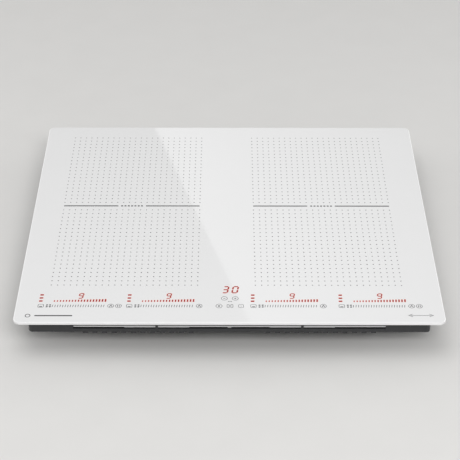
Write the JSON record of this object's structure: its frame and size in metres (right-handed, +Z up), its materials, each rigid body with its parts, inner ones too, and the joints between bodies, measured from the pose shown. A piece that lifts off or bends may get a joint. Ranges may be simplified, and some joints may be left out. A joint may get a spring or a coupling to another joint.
{
  "type": "built-in induction cooktop",
  "caption": "Flat white glass cooktop with a front touch-slider strip, over a stepped sheet-metal casing holding induction coils, power boards, fans and turn-out worktop clamps.",
  "frame": {"origin": "middle of the base, under the middle of the glass", "axes": "+X to the user's right along the width, +Y from the user to the back, +Z up out of the glass"},
  "size_m": [0.59, 0.52, 0.058],
  "materials": {
    "white_glass": "gloss glass-ceramic, printed white on its underside",
    "seal_foam": "matt closed-cell foam",
    "galvanised_steel": "galvanised sheet",
    "casing_paint": "satin dark grey powder coat",
    "bright_aluminium": "satin",
    "mill_aluminium": "mill finish",
    "zinc_plated_steel": "bright zinc plating",
    "copper_litz": "enamelled copper litz",
    "black_plastic": "moulded, fine grain",
    "rotor_plastic": "moulded",
    "mica": "pressed mica sheet",
    "ferrite": "pressed and sintered, matt",
    "circuit_board": "solder mask",
    "black_epoxy": "moulded epoxy",
    "capacitor_case": "moulded case",
    "choke_winding": "enamelled copper on a core",
    "cream_plastic": "moulded nylon",
    "light_guide": "clear to milky acrylic",
    "silicone_wire": "silicone sleeve",
    "ribbon": "PVC flat cable",
    "brass": "turned"
  },
  "bodies": {
    "hob_body": {"glass_top": "white_glass", "foam_seal": "seal_foam", "glass_frame": "galvanised_steel", "bottom_tray": "casing_paint", "air_deflector": "bright_aluminium", "casing_screws": "zinc_plated_steel", "coil_winding_front_left": "copper_litz", "coil_winding_rear_left": "copper_litz", "coil_winding_front_right": "copper_litz", "coil_winding_rear_right": "copper_litz", "coil_former_front_left": "black_plastic", "coil_former_rear_left": "black_plastic", "coil_former_front_right": "black_plastic", "coil_former_rear_right": "black_plastic", "ferrite_bars_front_left": "ferrite", "ferrite_bars_rear_left": "ferrite", "ferrite_bars_front_right": "ferrite", "ferrite_bars_rear_right": "ferrite", "mica_sheets": "mica", "heat_sensors": "cream_plastic", "coil_plate_left": "mill_aluminium", "coil_plate_right": "mill_aluminium", "coil_springs": "zinc_plated_steel", "coil_leads": "silicone_wire", "plate_pillars": "brass", "plate_screws": "zinc_plated_steel", "power_board_left": "circuit_board", "power_board_right": "circuit_board", "heat_sink_left": "mill_aluminium", "heat_sink_right": "mill_aluminium", "power_transistors": "black_epoxy", "resonance_capacitors": "capacitor_case", "board_chokes": "choke_winding", "bridge_rectifiers": "black_epoxy", "board_spacers": "cream_plastic", "filter_board": "circuit_board", "filter_choke": "choke_winding", "filter_capacitors": "capacitor_case", "supply_transformer": "capacitor_case", "fan_housing_left": "black_plastic", "fan_housing_right": "black_plastic", "touch_carrier": "black_plastic", "touch_board": "circuit_board", "display_modules": "black_epoxy", "bar_lights": "light_guide", "touch_springs": "zinc_plated_steel", "ribbon_cable": "ribbon", "terminal_block": "cream_plastic", "terminal_screws": "brass", "terminal_cover": "black_plastic", "cable_gland": "black_plastic", "clamp_screws": "zinc_plated_steel", "clamp_nuts": "zinc_plated_steel"},
    "fan_left": {"fan_rotor_left": "rotor_plastic"},
    "fan_right": {"fan_rotor_right": "rotor_plastic"},
    "clamp_front_left_arm": {"clamp_front_left": "zinc_plated_steel"},
    "clamp_front_right_arm": {"clamp_front_right": "zinc_plated_steel"},
    "clamp_rear_left_arm": {"clamp_rear_left": "zinc_plated_steel"},
    "clamp_rear_right_arm": {"clamp_rear_right": "zinc_plated_steel"}
  },
  "joints": [
    {"name": "fan_left_spin", "type": "hinge", "parent": "hob_body", "child": "fan_left", "pos_m": [-0.1477, 0.16, 0.014], "axis": [0, 0, 1], "continuous": true},
    {"name": "fan_right_spin", "type": "hinge", "parent": "hob_body", "child": "fan_right", "pos_m": [0.1391, 0.16, 0.014], "axis": [0, 0, 1], "continuous": true},
    {"name": "clamp_front_left_turn", "type": "hinge", "parent": "hob_body", "child": "clamp_front_left_arm", "pos_m": [-0.266, -0.151, 0.017], "axis": [0, 0, 1], "range_deg": [0, 90]},
    {"name": "clamp_front_right_turn", "type": "hinge", "parent": "hob_body", "child": "clamp_front_right_arm", "pos_m": [0.266, -0.151, 0.017], "axis": [0, 0, -1], "range_deg": [0, 90]},
    {"name": "clamp_rear_left_turn", "type": "hinge", "parent": "hob_body", "child": "clamp_rear_left_arm", "pos_m": [-0.266, 0.149, 0.017], "axis": [0, 0, -1], "range_deg": [0, 90]},
    {"name": "clamp_rear_right_turn", "type": "hinge", "parent": "hob_body", "child": "clamp_rear_right_arm", "pos_m": [0.266, 0.149, 0.017], "axis": [0, 0, 1], "range_deg": [0, 90]}
  ]
}
